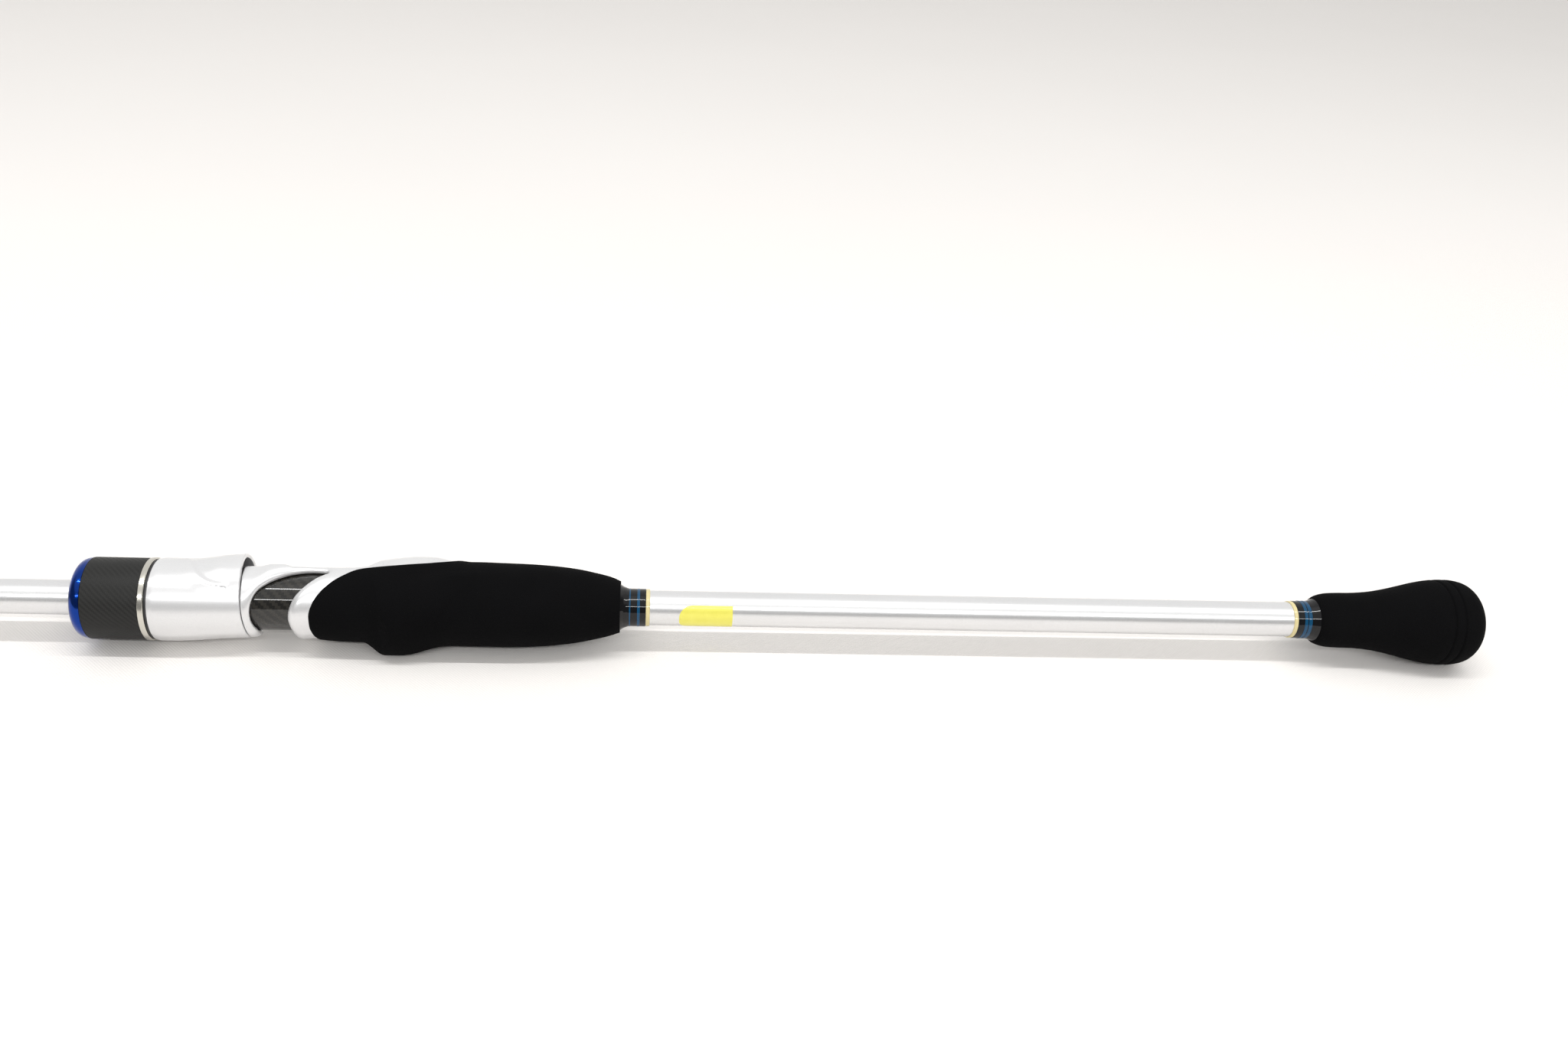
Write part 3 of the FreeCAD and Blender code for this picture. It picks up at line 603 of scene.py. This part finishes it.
# the window's outline (t, phi), on a cylinder of WINDOW_ROUND
WINDOW = [(387.8, 37), (391.2, 33), (394.5, 35.5), (398.4, 44), (401.7, 55.5), (404.5, 68),
          (406.6, 81), (407.9, 97), (408.5, 115), (408.4, 133), (407.9, 147), (407.3, 160),
          (407, 180), (407, 200), (402.5, 206), (398, 200), (398, 180), (398, 160), (398.3, 145),
          (398.6, 129), (398.2, 111), (396.8, 91), (395, 76.5), (392.8, 62.5), (390.5, 49.5),
          (388.5, 41)]
WINDOW_ROUND, WALL_LEAN, WALL = 10.6, 0.55, 2.4
SKIN_AT, SKIN_END, PIPE_ROOM = 344.0, 413.2, 9.28
FOOT_FLOOR, FOOT_HALF, POCKET_HALF, POCKET_ROOF = 10.45, 5.9, 7.3, 1.5


def loop_spline(points, per=6):
    """A smooth closed line through the points."""
    p = list(points)
    return spline(p[-2:] + p + p[:2], per)[per:-per - 1]


def window_distance(t, arc):
    """Millimetres outside (+) or inside (-) the window, on the unrolled skin."""
    scale = math.radians(1) * WINDOW_ROUND
    line = loop_spline([(a, b * scale) for a, b in WINDOW])
    best = np.full(t.shape, 1e9)
    inside = np.zeros(t.shape, bool)
    for (ax, ay), (bx, by) in zip(line, np.roll(line, -1, axis=0)):
        dx, dy = bx - ax, by - ay
        if dx * dx + dy * dy < 1e-12:
            continue
        s = np.clip(((t - ax) * dx + (arc - ay) * dy) / (dx * dx + dy * dy), 0, 1)
        best = np.minimum(best, np.hypot(t - ax - s * dx, arc - ay - s * dy))
        crosses = (ay > arc) != (by > arc)
        with np.errstate(divide="ignore", invalid="ignore"):
            inside ^= crosses & (t < ax + (arc - ay) * dx / dy)
    return np.where(inside, -best, best)


def seat_field(t, y, z):
    """Signed distance, roughly in millimetres, to the moulded skin of the reel seat."""
    r = np.hypot(y, z)
    phi = np.degrees(np.arctan2(np.abs(y), z))
    reel = 1 - step(25, 105, phi)
    shell = r - (SEAT_LOW(t) * (1 - reel) + SEAT_HIGH(t) * reel)
    top, round_r = HUMP_TOP(t), HUMP_ROUND
    hump = np.hypot(y, z - (top - round_r)) - round_r
    shell = outer = -soft_max(-shell, -hump, 3.0)
    shell = soft_max(shell, PIPE_ROOM - r, 0.3)
    shell = soft_max(shell, np.maximum(SKIN_AT - t, t - HOOD_RIM(phi) + 0.15), 0.4)
    arc = phi * math.radians(1) * WINDOW_ROUND
    shell = soft_max(shell, WALL_LEAN * (outer + WALL) - window_distance(t, arc), 2.2)
    channel = np.maximum(np.abs(y) - FOOT_HALF, FOOT_FLOOR - z)
    lip = 372.0 + 0.09 * y * y
    channel = np.maximum(channel, lip - t)
    pocket = np.maximum(np.abs(y) - POCKET_HALF, FOOT_FLOOR - 0.6 - z)
    pocket = np.maximum(pocket, np.hypot(y, z - (top - round_r)) - (round_r - POCKET_ROOF))
    pocket = np.maximum(pocket, 353.0 - t)
    shell = soft_max(shell, -channel, 1.0)
    return soft_max(shell, -pocket, 0.5)


def make_seat_skin():
    """The skin is polygonised from its distance field, then its points are settled on it."""
    cell = 0.27
    low = np.array([SKIN_AT - 1.5, -16.5, -14.0])
    high = np.array([SKIN_END + 1.5, 16.5, 17.0])
    axes = [np.arange(a, b, cell) for a, b in zip(low, high)]
    t, y, z = np.meshgrid(*axes, indexing="ij")
    away = 3.0                   # the field's value far from the skin
    values = np.full(t.shape, away)
    radius = np.hypot(y, z)
    near = np.abs(radius - 12) < 4.5
    values[near] = np.clip(seat_field(t[near], y[near], z[near]), -away, away)
    values[radius < 8] = away
    grid = openvdb.FloatGrid(away)
    grid.copyFromArray(values.astype(np.float32))
    points, tris, quads = grid.convertToPolygons(isovalue=0.0, adaptivity=0.0)
    p = points.astype(float) * cell + low
    for _ in range(3):
        f = seat_field(*p.T)
        slope = np.stack([(seat_field(*(p + d).T) - seat_field(*(p - d).T)) / (2 * SMALL_TILT)
                          for d in np.eye(3) * SMALL_TILT], 1)
        p = p - slope * np.clip(f / np.maximum((slope ** 2).sum(1), 0.2), -cell, cell)[:, None]
    piece = build("reel_seat_skin", row(p), quads.tolist() + tris.tolist(), sharp=60, merge=False)
    dress(piece, SEAT_PAINT, nodes=("seat_frame",))


def make_barrel():
    """The threaded barrel in front of the skin, with the hood's keyway on the trigger side."""
    start, end, pitch, crest, root, bore = 411.3, 459.5, 2.0, 10.3, 9.65, 9.25
    t = np.concatenate([[start, start + 0.01], np.arange(start + 0.5, end - 0.3, 0.14),
                        [end - 0.3, end]])[:, None]
    phi = angles(180)[None, :]
    turn = (t - 423 - pitch * phi / (2 * math.pi)) / pitch
    groove = np.clip(0.5 - np.abs(turn - np.round(turn)) * 2, 0, 0.28) / 0.28
    r = crest - 0.5 * groove * step(422.5, 423.5, t) * (1 - step(457.5, 458.5, t))
    key = np.abs(np.degrees(phi) - 180) < 9
    r = np.where(key, root, r)
    r[-1] = crest - 0.4
    outer = turned(t, r, phi)
    inner = turned(t[::-len(t) + 1], bore + 0 * t[:2], phi)
    piece = skin("reel_seat_barrel", np.concatenate([outer, inner]), loop=True, sharp=35)
    dress(piece, BLACK_PLASTIC, nodes=("seat_frame",))


def make_pipe():
    """The carbon pipe that shows through the window."""
    outline = rounded([(306, 8.1), (306, PIPE_RAD, 0.3), (459.5, PIPE_RAD, 0.3), (459.5, 8.1)])
    pipe = lathe("reel_seat_pipe", outline, girth=PIPE_RAD, around=180)
    dress(pipe, CARBON_GLOSS, nodes=("seat_pipe",))


# ---------------------------------------------------------------- moving hood and lock nut
# by t: the ring's radius and the lip's crown; the crease as (t, phi); the rear rim's t by phi
HOOD_BASE = curve([(409, 11.5), (413, 11.7), (419, 12.05), (424, 12.4), (428, 12.75), (434, 13.0),
                   (437, 13.0), (439, 12.75)])
HOOD_TOP = curve([(411, 14.9), (413, 14.8), (415.7, 14.6), (419.7, 14.2), (423.2, 13.6),
                  (427.8, 13.1), (431, 12.8), (439, 11.9)])
HOOD_ROUND = 11.9
CREASE = spline([(432.5, 10), (430.2, 24), (428.2, 41), (426.2, 56), (424, 67), (421.2, 74),
                 (416.5, 78)], 6)
CREASE_ROUND = 12.3
HOOD_RIM = curve([(0, 413.2), (36, 412.7), (56, 412.4), (77, 412.1), (93, 412.0), (110, 411.8),
                  (127, 411.6), (144, 411.3), (158, 411.1), (180, 411.0)])


def crease_distance(t, phi):
    """Millimetres from the crease line, positive on the lip's side, and how far down the line."""
    scale = math.radians(1) * CREASE_ROUND
    arc = phi * scale
    line = CREASE * np.array([1, scale])
    best, sign, place = np.full(t.shape, 1e9), np.ones(t.shape), np.zeros(t.shape)
    for k in range(len(line) - 1):
        (ax, ay), (bx, by) = line[k], line[k + 1]
        dx, dy = bx - ax, by - ay
        s = np.clip(((t - ax) * dx + (arc - ay) * dy) / (dx * dx + dy * dy), 0, 1)
        d = np.hypot(t - ax - s * dx, arc - ay - s * dy)
        cross = (t - ax) * dy - (arc - ay) * dx
        closer = d < best
        sign = np.where(closer, np.where(cross < 0, 1.0, -1.0), sign)
        place = np.where(closer, (k + s) / (len(line) - 1), place)
        best = np.minimum(best, d)
    return best * sign, place


def hood_radius(t, phi):
    """The moving hood's outer radius: a ring, its lip, and the crease between them."""
    lip = off_centre(HOOD_TOP(t) - HOOD_ROUND, HOOD_ROUND, np.radians(phi))
    r = soft_max(HOOD_BASE(t), lip, 0.5)
    s, place = crease_distance(t, phi)
    fade = step(0.0, 0.2, place) * (1 - step(0.93, 1.0, place) * 0.6)
    fold = 0.34 * step(-4, 0, s) - 0.68 * step(0, 2.2, s) + 0.34 * step(2.2, 7, s)
    cut = 0.3 * np.exp(-(s / 0.3) ** 2) * step(0.5, 0.8, place)
    ends = step(412.5, 416.5, t) * (1 - step(437, 438.6, t))
    return r + (fold * fade - cut) * ends


def make_hood():
    """The moving hood: a ring whose reel side lifts into the lip over the reel's foot."""
    front, edge, bevel = 439.2, 0.4, 0.35
    bore, collar, pocket_round, pocket_end = 10.6, 11.95, 9.3, 428
    phi = angles(288)
    degrees = np.degrees(np.minimum(phi, 2 * math.pi - phi))
    rim = HOOD_RIM(degrees)
    rings, ring = ring_stack(phi)

    def pocket(t):
        """The inner radius, lifted over the reel's foot and round the barrel."""
        up = (HOOD_TOP(t) - 1.2 - pocket_round) * (1 - step(pocket_end - 4, pocket_end, t))
        return np.maximum(off_centre(up, pocket_round, phi), bore)

    ring(front, collar)
    ring(front, hood_radius(front + 0 * phi, degrees) - bevel)
    for s in np.linspace(0, 1, 190):
        t = front - bevel + s * (rim + edge - front + bevel)
        ring(t, hood_radius(t, degrees))
    top = hood_radius(rim + edge, degrees)
    for a in np.linspace(0, math.pi / 2, 6)[1:]:
        ring(rim + edge - edge * math.sin(a), top - edge * (1 - math.cos(a)))
    low = pocket(rim)
    ring(rim, low + 0.2)
    ring(rim + 0.15, low)
    for s in np.linspace(0, 1, 40)[1:]:
        t = rim + 0.15 + s * (pocket_end - rim)
        ring(t, pocket(t))
    ring(437, bore)
    ring(437.05, collar)
    hood = skin("moving_hood_shell", np.array(rings), loop=True, sharp=38)
    dress(hood, SEAT_PAINT, body="hood", nodes=("moving_hood",))


def make_nut():
    """The slip ring on the hood, and the lock nut's three outer parts."""
    ring = rounded([(439.2, 11.4), (439.2, 12.55, 0.12), (439.8, 12.55, 0.12), (439.8, 11.4)])
    dress(lathe("hood_slip_ring", ring), BLACK_PLASTIC, "hood", ("slip_ring",))
    ring = rounded([(439.85, 11.6), (439.85, 13.0, 0.45), (441.6, 13.0, 0.3), (441.6, 11.6)], 10)
    dress(lathe("lock_nut_nickel_ring", ring), NICKEL, "nut", ("nut_rear_ring",))
    sleeve = rounded([(441.6, 11.6), (441.6, 12.75, 0.2), (458.5, 12.75, 0.2), (458.5, 11.6)])
    dress(lathe("lock_nut_sleeve", sleeve, girth=SLEEVE_RAD), CARBON_MATTE, "nut",
          ("nut_sleeve",))
    mouth = [(460.1, 6.2), (462.2, 6.2), (462.55, 6.5), (462.6, 7.2)]
    dome = spline([(462.6, 9.0), (462.45, 10.1), (462.0, 11.1), (461.2, 11.95), (460.0, 12.5),
                   (458.55, 12.7)])
    outline = np.vstack([mouth, dome, [(458.52, 11.0), (460.1, 10.9)]])
    dress(lathe("lock_nut_blue_ring", outline, sharp=50), BLUE_ANODISED, "nut",
          ("nut_front_ring",))


# ------------------------------------------------------------------------------- sticker
def make_sticker():
    """A plain label on the near side of the blank, with one round end."""
    butt_end, round_end, corner = 260.1, 277.3, 4.2
    middle, spread = 136, 49     # degrees
    across = np.linspace(-1, 1, 41)
    half = math.radians(spread) * blank_radius(268)
    inset = np.clip(np.abs(across) * half - half + corner, 0, corner)
    far = round_end - corner + np.sqrt(corner ** 2 - inset ** 2)
    share = np.linspace(0, 1, 12)[:, None]
    t = butt_end + share * (far - butt_end)[None, :]
    phi = np.radians(middle + spread * across)[None, :]
    top, under = (turned(t, blank_radius(t) + lift, phi) for lift in (0.06, 0.01))
    points = np.concatenate([top.reshape(-1, 3), under.reshape(-1, 3)])
    rows, cols = top.shape[:2]
    index = np.arange(rows * cols).reshape(rows, cols)
    back = index + rows * cols
    quads = []
    for a, flip in ((index, False), (back, True)):
        q = np.stack([a[:-1, :-1], a[1:, :-1], a[1:, 1:], a[:-1, 1:]], -1).reshape(-1, 4)
        quads.append(q[:, ::-1] if flip else q)
    rim = np.concatenate([index[0, :-1], index[:-1, -1], index[-1, :0:-1], index[:0:-1, 0]])
    loop = np.roll(rim, -1)
    quads.append(np.stack([rim, loop, loop + rows * cols, rim + rows * cols], -1))
    faces = np.concatenate(quads)
    uv = points[faces][..., :2]
    piece = build("handle_label", row(points), faces.tolist(), uv, sharp=50)
    dress(piece, LABEL, nodes=("label_sticker",))


# ------------------------------------------------------------- CAD nodes that keep their shape
def finish_cad_nodes():
    """Line guides and the hidden parts keep their CAD shape and get their finishes."""
    finishes = {"_ring": GUIDE_CERAMIC, "_frame": GUIDE_METAL, "_wrap": BLACK_THREAD,
                "arbor": ARBOR_FOAM, "nut_core": BLACK_PLASTIC}
    for name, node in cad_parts.items():
        if node.hide_render:
            continue
        for ending, material in finishes.items():
            if ending in name:
                node.data.materials.clear()
                node.data.materials.append(material)
        node.data.shade_smooth()
        node.data.set_sharp_from_angle(angle=math.radians(30))


# --------------------------------------------------------------------------------- studio
def make_floor():
    """A plain pale floor, 12 m square."""
    half = 6.0
    mesh = bpy.data.meshes.new("floor")
    z = FLOOR / 1000
    corners = [(-half, -half, z), (half, -half, z), (half, half, z), (-half, half, z)]
    mesh.from_pydata(corners, [], [(0, 1, 2, 3)])
    floor = bpy.data.objects.new("floor", mesh)
    bpy.context.scene.collection.objects.link(floor)
    floor.data.materials.append(floor_material())


def area_light(name, place, size, power):
    """A rectangular lamp, long side along the rod, turned to the rod's axis."""
    light = bpy.data.lights.new(name, "AREA")
    light.shape = "RECTANGLE"
    light.size, light.size_y = size
    light.energy = power
    lamp = bpy.data.objects.new(name, light)
    bpy.context.scene.collection.objects.link(lamp)
    lamp.location = place
    lamp.rotation_euler = (math.atan2(-place[1], place[2]), 0, 0)
    return lamp


def make_lights():
    """Two long tubes parallel to the rod over the near side, a soft fill, and an even pale surround."""
    middle, far, tube = -0.24, 1.5, (2.6, 0.035)
    for name, height, power in (("tube_high", 82, 14), ("tube_low", 38, 9)):
        a = math.radians(height)
        area_light(name, (middle, -far * math.cos(a), far * math.sin(a)), tube, power)
    fill = area_light("fill", (middle, -1.3, 1.0), (2.4, 1.2), 5)
    fill.visible_glossy = False
    world = bpy.data.worlds.new("studio")
    world.use_nodes = True
    tree = world.node_tree
    shade = next(n for n in tree.nodes if n.type == "BACKGROUND")
    shade.inputs["Color"].default_value = (1.0, 0.995, 0.985, 1)
    split = tree.nodes.new("ShaderNodeSeparateXYZ")
    tree.links.new(tree.nodes.new("ShaderNodeTexCoord").outputs["Generated"], split.inputs[0])

    def ramp(axis, start, end, low, high):
        """From low to high as the direction's part along axis goes from start to end."""
        made = tree.nodes.new("ShaderNodeMapRange")
        made.interpolation_type = "SMOOTHSTEP"
        for socket, number in (("From Min", start), ("From Max", end),
                               ("To Min", low), ("To Max", high)):
            made.inputs[socket].default_value = number
        tree.links.new(split.outputs[axis], made.inputs["Value"])
        return made.outputs[0]

    def join(operation, a, b):
        made = tree.nodes.new("ShaderNodeMath")
        made.operation = operation
        tree.links.new(a, made.inputs[0])
        tree.links.new(b, made.inputs[1])
        return made.outputs[0]

    front = join("ADD", ramp("Z", 0.5, 0.7, SKY_LOW, SKY_MID),
                 ramp("Z", 0.9, 1.0, 0, SKY_TOP - SKY_MID))
    around = join("MAXIMUM", front, ramp("Y", 0.0, 0.5, SKY_LOW, SKY_BACK))
    tree.links.new(around, shade.inputs["Strength"])
    bpy.context.scene.world = world


def make_camera():
    """The camera, over the near side and turned down to the handle."""
    data = bpy.data.cameras.new("camera")
    data.lens, data.sensor_width = 30.76, 36
    data.clip_start, data.clip_end = 0.01, 50
    camera = bpy.data.objects.new("camera", data)
    bpy.context.scene.collection.objects.link(camera)
    camera.location = (-0.283828, -0.363578, 0.243031)
    camera.rotation_euler = tuple(math.radians(a) for a in (60.0836, -4.1277, -4.3159))
    bpy.context.scene.camera = camera


make_camera()
make_blank()
make_knob()
make_handle_wraps()
make_grip()
make_seat_skin()
make_barrel()
make_pipe()
make_hood()
make_nut()
make_sticker()
finish_cad_nodes()
make_floor()
make_lights()
bpy.context.scene.view_settings.view_transform = "Standard"
